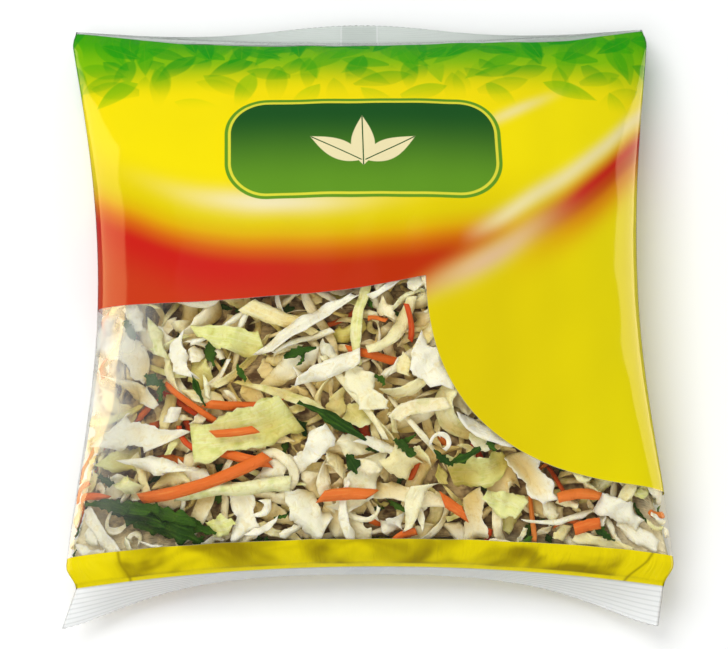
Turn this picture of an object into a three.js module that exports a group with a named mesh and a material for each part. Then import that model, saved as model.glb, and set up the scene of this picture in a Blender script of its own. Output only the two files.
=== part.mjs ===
// A sealed pillow bag of coleslaw mix, lying on its back with the window side up.
//
// One tube of film is closed by a crimped fin seal at each end. The slaw inside swells it, and since film
// can't stretch, the bag gets narrower where it gets thicker. The underside is pressed flat by the table,
// and a lengthwise seam runs down the middle of the back.
//
// Millimetres. +Z is up, +Y points to the top end of the pack, and the origin is on the table, under the
// middle of the bag.

import * as THREE from "three";
import { ParametricGeometry } from "three/addons/geometries/ParametricGeometry.js";

// The pack as it was cut and sealed
const flatWidth = 212.5; // the tube pressed flat, from side fold to side fold
const bodyLength = 212; // between the two end seals
const finDepth = 14; // an end seal, from the bag to its cut edge
const finThickness = 0.8; // two films welded together, with their crimps
const crimpPitch = 1.75;
const crimpHeight = 0.3;
const seamWidth = 13.5; // the lengthwise seam, folded flat on the back
const seamThickness = 0.6;

// The pack as it is filled
const bellyHeight = 60; // the thickest place
const restingHeight = 26.5; // the side folds there, above the table
const frontShare = 0.56; // of the thickness, above the side folds
const backShare = 0.5; // below them, pressed flat where it would pass through the table
const frontSquareness = 2.1; // 2 is an ellipse, and more is boxier
const backSquareness = 2.6;
const backFillPower = 0.9; // the back rises to the seals at least this slowly
const lean = 1.5; // the top end lies this far to the left, and the bottom end to the right
const sideBow = 1.3; // both ends lie this far to the left of the middle
const tuckStart = 0.93; // where the side folds start to be drawn in, from 0 in mid-bag to 1 at a seal

// The film's relief
const lumpWaves = 7;
const lumpHeight = 0.22; // of each wave
const shortestLump = 18;
const lumpTurn = 2.4; // radians from one wave's heading to the next
const puckerReach = 11; // how far from a seal its puckers fade out

// Each end: how fast the bag fills out behind the seal, and how the seal lies
const topEnd = {
  side: 1,
  fillPower: 0.8,
  widthPower: 1, // above 1, the film lies flat along the side folds and stays wider than an oval
  sealHeight: 18,
  bow: 6, // the middle of the seal is drawn in by the filling
  cornerTuck: 1.5, // the last of each side fold is drawn in
  cornerDrop: 2.5,
  puckerHeight: 0.5,
  finSkew: 0, // the cut edge lies this far to the right of the seal
  finFlare: 0, // and reaches this much further out at each corner
  finPitch: (across) => -68 + 29 * Math.exp(-((across / 0.42) ** 2)),
};
const bottomEnd = {
  side: -1,
  fillPower: 0.75,
  widthPower: 1.4,
  sealHeight: 20,
  bow: 7,
  cornerTuck: 3.5,
  cornerDrop: 2,
  puckerHeight: 0.9,
  finSkew: -3.5,
  finFlare: 1.5,
  finPitch: (across) => -18 - 75 * (1 - across ** 4),
};

// The surface's grid
const columns = 76; // faces round the tube
const bodyRows = 40;
const finRows = Math.round(finDepth / crimpPitch) * 2;
const curveSteps = 400; // along one panel of a cross-section

const { abs, sign, sin, cos, exp, sqrt, max, PI } = Math;
const { degToRad, lerp, smoothstep } = THREE.MathUtils;
const endOf = (along) => (along < 0 ? bottomEnd : topEnd);

// Half the width of an oval tube of the film's girth, when it is this thick (Ramanujan's formula for an
// ellipse, solved by bisection).
function halfWidthAt(thickness) {
  const b = thickness / 2;
  let low = flatWidth / 4;
  let high = flatWidth / 2;
  for (let i = 0; i < 30; i++) {
    const a = (low + high) / 2;
    const girth = PI * (3 * (a + b) - sqrt((3 * a + b) * (a + 3 * b)));
    if (girth < 2 * flatWidth) low = a;
    else high = a;
  }
  return low;
}

// The tube's cross-section at a place along the bag, from -1 at the bottom seal to 1 at the top seal.
function sectionAt(along) {
  const { fillPower, widthPower, sealHeight, cornerTuck } = endOf(along);
  const fill = (1 - along * along) ** fillPower;
  const backFill = (1 - along * along) ** max(fillPower, backFillPower);
  const tuck = cornerTuck * smoothstep(abs(along), tuckStart, 1);
  return {
    half: halfWidthAt(bellyHeight * fill ** widthPower) - tuck,
    front: bellyHeight * frontShare * fill,
    back: bellyHeight * backShare * backFill,
    fold: lerp(sealHeight, restingHeight, fill),
  };
}

// One panel of the cross-section, as a curve from the left fold to the right fold. Film keeps its length,
// so a place on the film is a share of the curve's length.
const curves = new Map();
function panelCurve(along, isFront) {
  const key = `${along} ${isFront}`;
  if (curves.has(key)) return curves.get(key);
  const { half, front, back } = sectionAt(along);
  const power = 2 / (isFront ? frontSquareness : backSquareness);
  const rise = isFront ? front : -back;
  const points = [];
  for (let i = 0; i <= curveSteps; i++) {
    const turn = (PI * i) / curveSteps;
    const x = -half * sign(cos(turn)) * abs(cos(turn)) ** power;
    points.push(new THREE.Vector2(x, rise * abs(sin(turn)) ** power));
  }
  const curve = new THREE.SplineCurve(points);
  curve.arcLengthDivisions = curveSteps;
  curves.set(key, curve);
  return curve;
}

// Soft lumps where the slaw presses on the film, as waves that cross in many directions, and puckers that
// run out from each seal. Both are heights above the smooth film.
function relief(x, y, along, isFront) {
  let lumps = 0;
  for (let i = 0; i < lumpWaves; i++) {
    const heading = i * lumpTurn;
    const length = shortestLump * (1 + i / 5);
    const distance = x * cos(heading) + y * sin(heading);
    lumps += lumpHeight * sin((2 * PI * distance) / length + 5 * i);
  }
  const calm = (1 - abs(along) ** 6) * (isFront ? 1 : 0.5);

  const fromSeal = ((1 - abs(along)) * bodyLength) / 2;
  const fade = (fromSeal / (fromSeal + 3)) * exp(-fromSeal / puckerReach);
  const puckers = sin(x / 4.4) + 0.7 * sin(x / 2.9 + 1.9) + 0.6 * sin(x / 7.3 + 4);
  return lumps * calm + puckers * fade * endOf(along).puckerHeight;
}

// The seam lies folded down the middle of the back, so it lifts the film by its own thickness there.
const seamLift = (x) =>
  seamThickness * (1 - smoothstep(abs(x), seamWidth / 2 - 1.5, seamWidth / 2));

// A point of the filled tube, with across from -1 at the left fold to 1 at the right fold.
function bodyPoint(across, along, isFront) {
  const { fold, half } = sectionAt(along);
  const end = endOf(along);
  const isSeal = abs(along) > 1 - 1e-9;
  const onCurve = isSeal
    ? new THREE.Vector2(across * half, 0)
    : panelCurve(along, isFront).getPointAt((across + 1) / 2);
  const x = onCurve.x;
  const nearSeal = abs(along) ** 5;
  const slack = 1 - across ** 8; // thickness and relief die out at the side folds
  const bow = end.bow * nearSeal * (1 - across * across);
  const y = (along * bodyLength) / 2 - end.side * bow;

  let outward = (finThickness / 2) * nearSeal;
  if (!isSeal) outward += relief(x, y, along, isFront);
  if (!isSeal && !isFront) outward += seamLift(x);
  const drop = end.cornerDrop * nearSeal * across * across;
  const z = fold + onCurve.y + (isFront ? outward : -outward) * slack - drop;
  return new THREE.Vector3(
    x - lean * along - sideBow * along * along,
    y,
    max(z, 0),
  );
}

// A point of an end seal, with depth from 0 at the bag to 1 at the cut edge. It hangs from the seal line,
// turned down more or less across the bag, and its crimps run parallel to that line.
function finPoint(across, depth, end, isFront) {
  const pitch = degToRad(end.finPitch(across));
  const outward = new THREE.Vector3(0, end.side * cos(pitch), sin(pitch));
  const facing = new THREE.Vector3(0, -end.side * sin(pitch), cos(pitch));
  const upper = bodyPoint(across, end.side, true);
  const lower = bodyPoint(across, end.side, false);
  const point = upper.add(lower).multiplyScalar(0.5);

  const slack = 1 - across ** 8;
  const isRidge = Math.round(depth * finRows) % 2 === 1;
  const ridge = isRidge ? crimpHeight * slack : 0;
  const overSeam = abs(point.x) < seamWidth / 2 ? seamThickness / 2 : 0;
  const half = depth < 1 ? (finThickness / 2 + overSeam) * slack : 0;
  point.addScaledVector(outward, depth * finDepth);
  point.addScaledVector(facing, ridge + (isFront ? half : -half));
  point.x += (end.finSkew + end.finFlare * across) * depth;
  return point;
}

// The whole film as one closed surface: u goes round the tube, and v from the bottom cut edge to the top
// one. Rows of the body lie closer together near the seals.
function bagSurface(u, v, target) {
  const isFront = u <= 0.5;
  const across = isFront ? lerp(-1, 1, u * 2) : lerp(1, -1, u * 2 - 1);
  const row = Math.round(v * (bodyRows + 2 * finRows)) - finRows;
  if (row < 0) {
    target.copy(finPoint(across, -row / finRows, bottomEnd, isFront));
  } else if (row > bodyRows) {
    target.copy(finPoint(across, (row - bodyRows) / finRows, topEnd, isFront));
  } else {
    const along = sin(PI * (row / bodyRows - 0.5));
    target.copy(bodyPoint(across, along, isFront));
  }
}

function makeBag() {
  const geometry = new ParametricGeometry(
    bagSurface,
    columns,
    bodyRows + 2 * finRows,
  );
  geometry.computeBoundingBox();
  const box = geometry.boundingBox;
  geometry.translate(
    -(box.min.x + box.max.x) / 2,
    -(box.min.y + box.max.y) / 2,
    -box.min.z,
  );
  const film = new THREE.MeshStandardMaterial({
    color: 0xe6d000,
    roughness: 0.3,
    metalness: 0,
  });
  const mesh = new THREE.Mesh(geometry, film);
  mesh.name = "bag";
  return mesh;
}

const coleslawBag = new THREE.Group();
coleslawBag.add(makeBag());

export default coleslawBag;
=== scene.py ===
# A sealed pillow bag of coleslaw mix on a pale table: printed film with a clear window, and the slaw in it.
# Film sizes are in millimetres, as in the bag's own solid, and meshes are written in metres.
import math
import bpy
import numpy as np
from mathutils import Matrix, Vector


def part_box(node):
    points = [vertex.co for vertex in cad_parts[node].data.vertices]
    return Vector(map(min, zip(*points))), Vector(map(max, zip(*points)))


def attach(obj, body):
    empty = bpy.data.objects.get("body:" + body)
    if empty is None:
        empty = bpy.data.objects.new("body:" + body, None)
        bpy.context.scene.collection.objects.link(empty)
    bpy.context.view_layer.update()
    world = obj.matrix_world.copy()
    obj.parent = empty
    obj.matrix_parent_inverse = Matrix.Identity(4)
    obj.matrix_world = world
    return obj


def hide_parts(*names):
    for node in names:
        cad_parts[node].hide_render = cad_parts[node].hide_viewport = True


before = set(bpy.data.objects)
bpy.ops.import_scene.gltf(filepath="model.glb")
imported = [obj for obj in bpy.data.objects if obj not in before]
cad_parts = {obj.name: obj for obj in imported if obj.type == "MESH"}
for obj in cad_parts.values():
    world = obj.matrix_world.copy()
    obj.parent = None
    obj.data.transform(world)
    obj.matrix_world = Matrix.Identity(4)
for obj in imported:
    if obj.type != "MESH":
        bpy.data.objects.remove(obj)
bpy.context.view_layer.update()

metre = 0.001  # one millimetre of film, in metres
rng = np.random.default_rng(41)
scene = bpy.context.scene


# Small helpers

def smoothStep(value, low, high):
    share = np.clip((value - low) / (high - low), 0, 1)
    return share * share * (3 - 2 * share)


def deselectAll():
    if bpy.context.object and bpy.context.object.mode != "OBJECT":
        bpy.ops.object.mode_set(mode="OBJECT")
    bpy.ops.object.select_all(action="DESELECT")


def namedActive(name):
    piece = bpy.context.object
    piece.name = name
    piece.data.name = name
    return piece


def pointsOf(mesh):
    flat = np.empty(len(mesh.vertices) * 3)
    mesh.vertices.foreach_get("co", flat)
    return flat.reshape(-1, 3)


def setPoints(mesh, points):
    mesh.vertices.foreach_set("co", np.ascontiguousarray(points, dtype=float).ravel())
    mesh.update()


# The bag's form

bag = {
    "flatWidth": 212.5,  # the tube pressed flat
    "bodyLength": 212,  # between the end seals
    "finDepth": 14,
    "finThickness": 0.5,
    "bellyHeight": 60,
    "restingHeight": 26.5,  # the side folds in mid-bag, above the table
    "frontShare": 0.56,
    "backShare": 0.5,
    "frontSquareness": 2.1,
    "backSquareness": 2.6,
    "backFillPower": 0.9,
    "lean": 1.5,
    "sideBow": 1.3,
    "tuckStart": 0.93,
    "seamLift": 0.5,
    "seamWidth": 13.5,
    "crimpPitch": 1.75,
    "crimpHeight": 0.1,
    "lumpHeight": 0.13,
    "shortestLump": 18,
    "lumpTurn": 2.4,
    "puckerReach": 11,
    "puckerWaves": ((4.4, 1, 0), (2.9, 0.7, 1.9), (7.3, 0.6, 4)),  # length, height and start of each
}
topEnd = {
    "side": 1, "fillPower": 0.8, "widthPower": 1, "sealHeight": 18, "bow": 6, "cornerTuck": 1.5,
    "cornerDrop": 2.5, "puckerHeight": 0.5, "finSkew": 0, "finFlare": 0,
    "finPitch": lambda across: -68 + 29 * np.exp(-((across / 0.42) ** 2)),
}
bottomEnd = {
    "side": -1, "fillPower": 0.75, "widthPower": 1.4, "sealHeight": 20, "bow": 7, "cornerTuck": 3.5,
    "cornerDrop": 2, "puckerHeight": 0.9, "finSkew": -3.5, "finFlare": 1.5,
    "finPitch": lambda across: -18 - 75 * (1 - across ** 4),
}
halfFlat = bag["flatWidth"] / 2
halfBody = bag["bodyLength"] / 2


def halfWidthAt(thickness):
    # half the width of an oval tube of the film's girth, when it is this thick
    b = thickness / 2
    low, high = halfFlat / 2, halfFlat
    for step in range(30):
        a = (low + high) / 2
        girth = math.pi * (3 * (a + b) - math.sqrt((3 * a + b) * (a + 3 * b)))
        if girth < 2 * bag["flatWidth"]:
            low = a
        else:
            high = a
    return low


def sectionAt(along):
    # along runs from -1 at the bottom seal to 1 at the top seal
    end = bottomEnd if along < 0 else topEnd
    full = max(1 - along * along, 0)
    fill = full ** end["fillPower"]
    backFill = full ** max(end["fillPower"], bag["backFillPower"])
    tuck = end["cornerTuck"] * float(smoothStep(abs(along), bag["tuckStart"], 1))
    return {
        "end": end,
        "half": halfWidthAt(bag["bellyHeight"] * fill ** end["widthPower"]) - tuck,
        "front": bag["bellyHeight"] * bag["frontShare"] * fill,
        "back": bag["bellyHeight"] * bag["backShare"] * backFill,
        "fold": end["sealHeight"] + (bag["restingHeight"] - end["sealHeight"]) * fill,
    }


def panelRow(section, across, isFront):
    # places on one panel at shares of its curve's length
    power = 2 / bag["frontSquareness" if isFront else "backSquareness"]
    rise = section["front"] if isFront else -section["back"]
    turn = np.linspace(0, math.pi, 401)
    x = -section["half"] * np.sign(np.cos(turn)) * np.abs(np.cos(turn)) ** power
    z = rise * np.abs(np.sin(turn)) ** power
    run = np.concatenate([[0], np.cumsum(np.hypot(np.diff(x), np.diff(z)))])
    at = (across + 1) / 2 * run[-1]
    return np.interp(at, run, x), np.interp(at, run, z)


def reliefAt(x, y, along, isFront):
    lumps = np.zeros_like(x)
    for i in range(7):
        heading = i * bag["lumpTurn"]
        length = bag["shortestLump"] * (1 + i / 5)
        distance = x * math.cos(heading) + y * math.sin(heading)
        lumps += bag["lumpHeight"] * np.sin(2 * math.pi * distance / length + 5 * i)
    lumps *= (1 - abs(along) ** 6) * (1 if isFront else 0.5)
    fromSeal = (1 - abs(along)) * halfBody
    fade = fromSeal / (fromSeal + 3) * math.exp(-fromSeal / bag["puckerReach"])
    puckers = sum(height * np.sin(x / length + start) for length, height, start in bag["puckerWaves"])
    end = bottomEnd if along < 0 else topEnd
    return lumps + puckers * fade * end["puckerHeight"]


def bodyRow(along, across, isFront):
    # a row of the filled tube; across runs from -1 at the left fold to 1 at the right fold
    section = sectionAt(along)
    end = section["end"]
    isSeal = abs(along) > 1 - 1e-9
    if isSeal:
        x, rise = across * section["half"], np.zeros_like(across)
    else:
        x, rise = panelRow(section, across, isFront)
    nearSeal = abs(along) ** 5
    slack = 1 - across ** 8
    y = along * halfBody - end["side"] * end["bow"] * nearSeal * (1 - across ** 2)
    outward = np.full_like(x, bag["finThickness"] / 2 * nearSeal)
    if not isSeal:
        outward = outward + reliefAt(x, y, along, isFront)
    drop = end["cornerDrop"] * nearSeal * across ** 2
    z = section["fold"] + rise + (outward if isFront else -outward) * slack - drop
    ground = bag["seamLift"] * (1 - smoothStep(np.abs(x), 8, 18))  # room under the middle for the back seam
    x = x - bag["lean"] * along - bag["sideBow"] * along ** 2
    return np.stack([x, y, np.maximum(z, ground)], axis=-1)


def finRow(depth, across, end, isFront):
    # a row of an end seal, from depth 0 at the bag to 1 at the cut edge
    pitch = np.radians(end["finPitch"](across))
    line = (bodyRow(end["side"], across, True) + bodyRow(end["side"], across, False)) / 2
    slack = 1 - across ** 8
    flat = np.zeros_like(across)
    outward = np.stack([flat, end["side"] * np.cos(pitch), np.sin(pitch)], axis=-1)
    facing = np.stack([flat, -end["side"] * np.sin(pitch), np.cos(pitch)], axis=-1)
    run = depth * bag["finDepth"]
    ridge = bag["crimpHeight"] * math.sin(2 * math.pi * run / bag["crimpPitch"])
    half = bag["finThickness"] / 2 if depth < 1 else 0
    lift = (ridge * min(run, 1) + (half if isFront else -half)) * slack
    points = line + outward * run + facing * lift[:, None]
    if depth >= 1:  # the knife leaves a fine zigzag
        points += outward * 0.3 * (np.arange(len(across)) % 2 - 0.5)[:, None]
    points[:, 0] += (end["finSkew"] + end["finFlare"] * across) * depth
    return points


def filmRow(around, alongFilm):
    # around is measured on the film from the front's middle, and alongFilm from mid-bag
    share = around / halfFlat
    rows = []
    past = abs(alongFilm) - halfBody
    for isFront in (True, False):
        across = share if isFront else np.sign(share) * (2 - np.abs(share))
        across = np.clip(across, -1, 1)
        if past > 1e-9:
            end = topEnd if alongFilm > 0 else bottomEnd
            rows.append(finRow(min(past / bag["finDepth"], 1), across, end, isFront))
        else:
            rows.append(bodyRow(alongFilm / halfBody, across, isFront))
    return np.where((np.abs(share) <= 1)[:, None], rows[0], rows[1])


def placeOffset():
    # the raw form is moved so that it fills the solid's own box
    across = np.linspace(-halfFlat, halfFlat, 201)
    cut = halfBody + bag["finDepth"]
    rows = [filmRow(across, y) for y in (-cut, cut)]
    rows += [filmRow(across[[0, -1]], y) for y in np.linspace(-halfBody, halfBody, 201)]
    everything = np.concatenate(rows)
    low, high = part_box("bag")
    middle = (np.array(low) + np.array(high)) / 2 / metre
    offset = middle - (everything.min(axis=0) + everything.max(axis=0)) / 2
    offset[2] = 0
    return offset


bagOffset = placeOffset()
print("bag form: offset", np.round(bagOffset, 2))


# Shader building

def linear(red, green, blue):
    # a colour as seen on screen, 0 to 255, as Blender wants it
    shares = [c / 255 for c in (red, green, blue)]
    return tuple(c / 12.92 if c <= 0.04045 else ((c + 0.055) / 1.055) ** 2.4 for c in shares) + (1,)


class Value:
    # a node's output, with which sums are written as with numbers
    def __init__(self, socket):
        self.socket = socket
        self.tree = socket.id_data

    def __add__(self, other):
        return doMath("ADD", self, other)

    def __sub__(self, other):
        return doMath("SUBTRACT", self, other)

    def __rsub__(self, other):
        return doMath("SUBTRACT", other, self)

    def __mul__(self, other):
        return doMath("MULTIPLY", self, other)

    def __truediv__(self, other):
        return doMath("DIVIDE", self, other)

    def __abs__(self):
        return doMath("ABSOLUTE", self)


def connect(socket, value):
    if isinstance(value, Value):
        value.tree.links.new(value.socket, socket)
    else:
        socket.default_value = value


def connectAll(sockets, values):
    for socket, value in zip(sockets, values):
        connect(socket, value)


def addNode(tree, kind, inputs=None, **settings):
    node = tree.nodes.new(kind)
    for name, value in settings.items():
        setattr(node, name, value)
    for key, value in (inputs or {}).items():
        connect(node.inputs[key], value)
    return node


def outputsOf(node):
    return [Value(socket) for socket in node.outputs]


def doMath(operation, *values):
    tree = next(value.tree for value in values if isinstance(value, Value))
    node = addNode(tree, "ShaderNodeMath", operation=operation)
    connectAll(node.inputs, values)
    return Value(node.outputs[0])


def rangeOf(value, low, high, start=0, stop=1, **settings):
    # from start to stop, smoothly, as value goes from low to high
    settings = settings or {"interpolation_type": "SMOOTHSTEP"}
    node = addNode(value.tree, "ShaderNodeMapRange", **settings)
    connectAll(node.inputs, (value, low, high, start, stop))
    return Value(node.outputs[0])


def rangeLinear(value, low, high, start, stop):
    return rangeOf(value, low, high, start, stop, clamp=False)


def edgeAt(value, place, start=0, stop=1):
    # the sharp edge of a printed field
    return rangeOf(value, place - 0.2, place + 0.2, start, stop)


def layOver(ground, shade, *masks, blend="MIX"):
    # a colour over another, as far as all the masks let it through
    amount = masks[0]
    for mask in masks[1:]:
        amount = amount * mask
    node = addNode(amount.tree, "ShaderNodeMix", data_type="RGBA", blend_type=blend)
    connectAll([node.inputs[i] for i in (0, 6, 7)], (amount, ground, shade))
    return Value(node.outputs[2])


def pointAt(x, y):
    return Value(addNode(x.tree, "ShaderNodeCombineXYZ", {0: x, 1: y}).outputs[0])


def splitPoint(point):
    return outputsOf(addNode(point.tree, "ShaderNodeSeparateXYZ", {0: point}))


def splitColour(colour):
    return outputsOf(addNode(colour.tree, "ShaderNodeSeparateColor", {0: colour}))


def noiseAt(place, scale, detail, roughness=0.5, distortion=0):
    node = addNode(place.tree, "ShaderNodeTexNoise", {"Vector": place, "Scale": scale, "Detail": detail})
    node.inputs["Roughness"].default_value = roughness
    node.inputs["Distortion"].default_value = distortion
    return Value(node.outputs[0])


def curveAt(value, points):
    # the height of a smooth curve through points, in millimetres of film
    reach, rise = 2 * halfFlat, 120
    node = addNode(value.tree, "ShaderNodeFloatCurve")
    curve = node.mapping.curves[0]
    while len(curve.points) > 2:
        curve.points.remove(curve.points[-1])
    scaled = [((x + reach) / (2 * reach), (y + rise) / (2 * rise)) for x, y in points]
    for point, place in zip(curve.points, (scaled[0], scaled[-1])):
        point.location = place
    for place in scaled[1:-1]:
        curve.points.new(*place)
    node.mapping.use_clip = False
    node.mapping.update()
    connect(node.inputs["Value"], rangeLinear(value, -reach, reach, 0, 1))
    return rangeLinear(Value(node.outputs[0]), 0, 1, -rise, rise)


def makeGroup(name, inputs, outputs, build):
    # a node group: build is given the input values in order, and gives back the output values
    tree = bpy.data.node_groups.new(name, "ShaderNodeTree")
    for label, value in inputs.items():
        socket = tree.interface.new_socket(name=label, in_out="INPUT", socket_type="NodeSocketFloat")
        socket.default_value = value
    for label, kind in outputs.items():
        tree.interface.new_socket(name=label, in_out="OUTPUT", socket_type="NodeSocket" + kind)
    source = outputsOf(tree.nodes.new("NodeGroupInput"))[:len(inputs)]
    result = tree.nodes.new("NodeGroupOutput").inputs
    connectAll(result, build(tree, *source))
    return tree


def useGroup(tree, group, *values):
    node = addNode(tree, "ShaderNodeGroup", node_tree=group)
    connectAll(node.inputs, values)
    return outputsOf(node)


def newMaterial(name):
    material = bpy.data.materials.new(name)
    material.use_nodes = True
    return material, material.node_tree.nodes["Principled BSDF"]


def setShader(shader, height, inputs):
    # the shader's inputs by name, and its bumps by their height in millimetres
    bump = addNode(shader.id_data, "ShaderNodeBump", {"Height": height, "Strength": 1, "Distance": metre})
    for name, value in {**inputs, "Normal": Value(bump.outputs[0])}.items():
        connect(shader.inputs[name], value)


# The film

filmGrid = {"columns": 384, "bodyRows": 168, "finRows": 32}
filmLength = bag["bodyLength"] + 2 * bag["finDepth"]
backSeam = {"clear": 0.06, "thickness": 0.34, "columns": 8, "rows": 240, "short": 0.6}


def filmSheet(around, along):
    return np.stack([filmRow(around, y) for y in along]) + bagOffset


def sheetNormals(sheet):
    normal = np.cross(np.gradient(sheet, axis=1), np.gradient(sheet, axis=0))
    return normal / np.linalg.norm(normal, axis=2, keepdims=True)


def addSheet(name, columns, rows, isThick=False):
    # a flat grid, or a slab of two grids, with each point's column and row, and whether it is on top
    deselectAll()
    bpy.ops.mesh.primitive_grid_add(x_subdivisions=columns, y_subdivisions=rows, size=1)
    piece = namedActive(name)
    if isThick:
        bpy.ops.object.mode_set(mode="EDIT")
        bpy.ops.mesh.select_all(action="SELECT")
        bpy.ops.mesh.extrude_region_move(TRANSFORM_OT_translate={"value": (0, 0, 1)})
        bpy.ops.object.mode_set(mode="OBJECT")
    places = pointsOf(piece.data)
    column = np.rint((places[:, 0] + 0.5) * columns).astype(int)
    row = np.rint((places[:, 1] + 0.5) * rows).astype(int)
    return piece, column, row, places[:, 2] > 0.5


def setMap(mesh, name, flat):
    # the piece's own map, from a place for each point
    corner = np.empty(len(mesh.loops), dtype=int)
    mesh.loops.foreach_get("vertex_index", corner)
    if not mesh.uv_layers:
        mesh.uv_layers.new()
    mesh.uv_layers[0].name = name
    mesh.uv_layers[0].data.foreach_set("uv", flat[corner].ravel())


def enclosedVolume(mesh):
    # below zero where the faces point inwards
    centres, normals = np.empty((2, len(mesh.polygons) * 3))
    areas = np.empty(len(mesh.polygons))
    mesh.polygons.foreach_get("center", centres)
    mesh.polygons.foreach_get("normal", normals)
    mesh.polygons.foreach_get("area", areas)
    return (centres * normals * areas.repeat(3)).sum() / 3


def faceOutward(mesh, mergeDistance=0):
    bpy.ops.object.mode_set(mode="EDIT")
    bpy.ops.mesh.select_all(action="SELECT")
    if mergeDistance:
        bpy.ops.mesh.remove_doubles(threshold=mergeDistance)
    bpy.ops.mesh.normals_make_consistent(inside=False)
    bpy.ops.object.mode_set(mode="OBJECT")
    if enclosedVolume(mesh) < 0:  # the thin end seals can turn the film inside out
        mesh.flip_normals()


def makeFilm():
    # rows from the bottom cut edge to the top one, and columns from the back seam round to it again
    body = np.linspace(-halfBody, halfBody, filmGrid["bodyRows"] + 1)
    fin = np.linspace(0, bag["finDepth"], filmGrid["finRows"] + 1)[1:]
    rows = np.concatenate([-halfBody - fin[::-1], body, halfBody + fin])
    columns = np.linspace(-2 * halfFlat, 2 * halfFlat, filmGrid["columns"] + 1)
    film, column, row, isTop = addSheet("bagFilm", len(columns) - 1, len(rows) - 1)
    setPoints(film.data, filmSheet(columns, rows)[row, column] * metre)
    flat = np.stack([column / (len(columns) - 1), rows[row] / filmLength + 0.5], axis=-1)
    setMap(film.data, "flatFilm", flat)
    faceOutward(film.data, 0.000002)  # with the tube closed at the back seam and both cut edges
    bpy.ops.object.shade_smooth()
    print("film:", len(film.data.vertices), "points")
    return film


def makeSeam():
    # the lengthwise seam, folded flat down the middle of the back and sealed into both ends
    seam, column, row, isTop = addSheet("backSeam", backSeam["columns"], backSeam["rows"], True)
    aside = np.linspace(-0.5, 0.5, backSeam["columns"] + 1) * bag["seamWidth"]
    around = np.where(aside < 0, 2 * halfFlat + aside, aside - 2 * halfFlat)
    along = np.linspace(-1, 1, backSeam["rows"] + 1) * (halfBody + bag["finDepth"] - backSeam["short"])
    sheet = filmSheet(around, along)
    out = backSeam["clear"] + np.where(isTop, backSeam["thickness"], 0)
    points = sheet[row, column] + sheetNormals(sheet)[row, column] * out[:, None]
    points[:, 2] = np.maximum(points[:, 2], 0.02 + 0.05 * ~isTop)  # kept just above the table
    setPoints(seam.data, points * metre)
    flat = np.stack([1 - np.abs(aside[column]) / (4 * halfFlat), along[row] / filmLength + 0.5], axis=-1)
    setMap(seam.data, "flatFilm", flat)
    faceOutward(seam.data)
    bpy.ops.object.shade_smooth_by_angle(angle=math.radians(40))
    return seam


# The film's print, in millimetres of flat film: around from the front's middle, along from mid-bag

printLayout = {
    "topEdge": (
        (-213, 101), (-110, 105.2), (-90, 104), (-66, 101), (0, 100.8), (48, 102.4), (72, 101), (90, 103.4),
        (110, 105.4), (213, 101),
    ),
    "windowTop": (
        (-213, 4), (-128, -1), (-105, -7), (-69, -11.5), (-40, -12), (0, -9), (22, -4.4), (60, 0), (213, 4),
    ),
    "windowWrap": 128,  # the clear window reaches this far round to the back
    "panelMiddle": (97, -4),  # the right-hand panel is a quarter of a squarish oval
    "panelSize": (77.5, 70),
    "panelSquareness": 2.4,
    "bandTop": -96,  # the plain band along the bottom
    "creases": ((-86.7, 0.06), (95.5, -0.6)),  # place and slope, where that band's corners are folded in
    "redTop": (
        (-213, 30), (-150, 44), (-106, 34), (-85, 23), (-57, 10), (-21, 6), (12, 8), (40, 12), (213, 30),
    ),
    "ribbon": (
        (-213, -8), (10, -4), (24, 3), (41, 12), (60, 26), (72, 35), (84, 46), (100, 62), (130, 84),
        (213, 110),
    ),
    "ribbonStreaks": (  # middle below the ribbon's top, width, colour, where it sets in and is full, strength
        (17, 8, "orange", 42, 84, 0.8),
        (8.5, 6.5, "red", 44, 78, 1),
        (12, 3.5, "brownRed", 50, 92, 0.7),
        (-2.5, 3.4, "cream", 30, 50, 0.75),
    ),
    "foliageFrom": 62,
    "foliage": (  # pitch, seed, leaf length and width, colour, where it sets in and is full, strength
        (22, 3.1, 11, 3.9, "lightGreen", 64, 76, 0.9),
        (21, 7.7, 12, 4.2, "green", 66, 86, 0.75),
        (18, 5.3, 10, 3.5, "green", 70, 86, 0.75),
        (19, 12.4, 10, 3.6, "green", 74, 88, 0.85),
        (21, 1.3, 11, 4.0, "darkGreen", 76, 88, 0.9),
        (17, 9.6, 9, 3.4, "darkGreen", 82, 92, 0.95),
    ),
    "plate": {
        "middle": (-0.6, 46), "half": (45, 18), "corner": 12,
        "leaves": ((0, 2.5, 90, 11), (-9.5, -1, 150, 10.5), (9.5, -1, 30, 10.5)),  # place, turn, length
        "leafWidth": 4.2,
    },
}
printColours = {
    "yellow": linear(238, 218, 0),
    "deepYellow": linear(216, 195, 0),
    "panelYellow": linear(234, 219, 0),
    "red": linear(195, 29, 18),
    "brightRed": linear(193, 55, 21),
    "brownRed": linear(183, 47, 4),
    "orange": linear(216, 127, 4),
    "cream": linear(232, 220, 172),
    "pink": linear(218, 181, 146),
    "darkGreen": linear(0, 146, 8),
    "green": linear(52, 160, 0),
    "lightGreen": linear(124, 184, 0),
    "band": linear(228, 208, 0),
    "bandShade": linear(150, 130, 0),
    "plateGreen": linear(25, 80, 29),
    "plateLight": linear(94, 146, 33),
    "plateLine": linear(216, 211, 58),
}


def filmPlaceValues(tree):
    # around and along, from the film's own map
    flat = Value(addNode(tree, "ShaderNodeUVMap", uv_map="flatFilm").outputs[0])
    x, y, z = splitPoint(flat)
    return (x - 0.5) * (4 * halfFlat), (y - 0.5) * filmLength


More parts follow.
